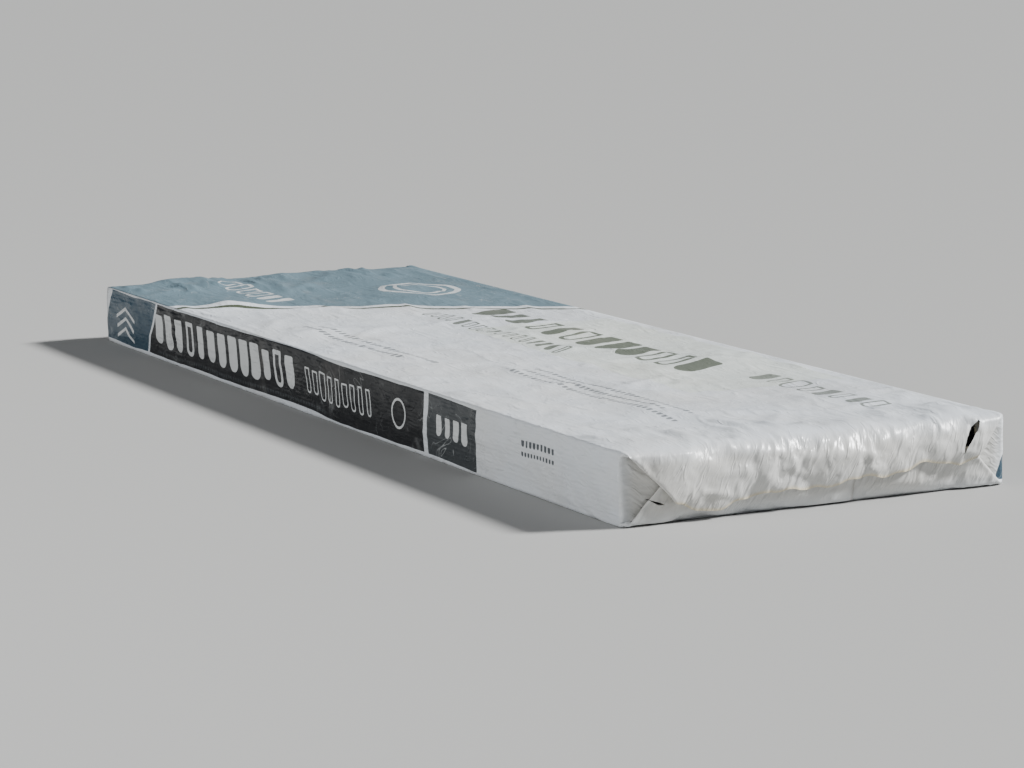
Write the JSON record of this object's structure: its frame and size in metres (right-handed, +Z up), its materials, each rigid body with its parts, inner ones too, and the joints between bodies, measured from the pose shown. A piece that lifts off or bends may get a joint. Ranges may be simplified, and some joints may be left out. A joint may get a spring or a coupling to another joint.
{
  "type": "asphalt shingle bundle",
  "caption": "Bundle of laminated asphalt roof shingles, nested in pairs, in a printed plastic film sleeve with folded ends.",
  "frame": {"origin": "middle of the underside of the bundle", "axes": "+X along the shingles, towards the end that the picture shows; -Y the long side that the picture shows; +Z up, the stack's height"},
  "size_m": [1.0968, 0.3614, 0.0575],
  "materials": {
    "wrap_film": "thin printed polyethylene film, softly glossy, creased",
    "asphalt_shingle": "ceramic granules on asphalt, rough"
  },
  "bodies": {
    "root": {"film_wrap": "wrap_film", "shingle_01": "asphalt_shingle", "shingle_02": "asphalt_shingle", "shingle_03": "asphalt_shingle", "shingle_04": "asphalt_shingle", "shingle_05": "asphalt_shingle", "shingle_06": "asphalt_shingle", "shingle_07": "asphalt_shingle", "shingle_08": "asphalt_shingle", "shingle_09": "asphalt_shingle", "shingle_10": "asphalt_shingle", "shingle_11": "asphalt_shingle", "shingle_12": "asphalt_shingle", "shingle_13": "asphalt_shingle", "shingle_14": "asphalt_shingle", "shingle_15": "asphalt_shingle", "shingle_16": "asphalt_shingle", "shingle_17": "asphalt_shingle", "shingle_18": "asphalt_shingle", "shingle_19": "asphalt_shingle"}
  },
  "joints": []
}
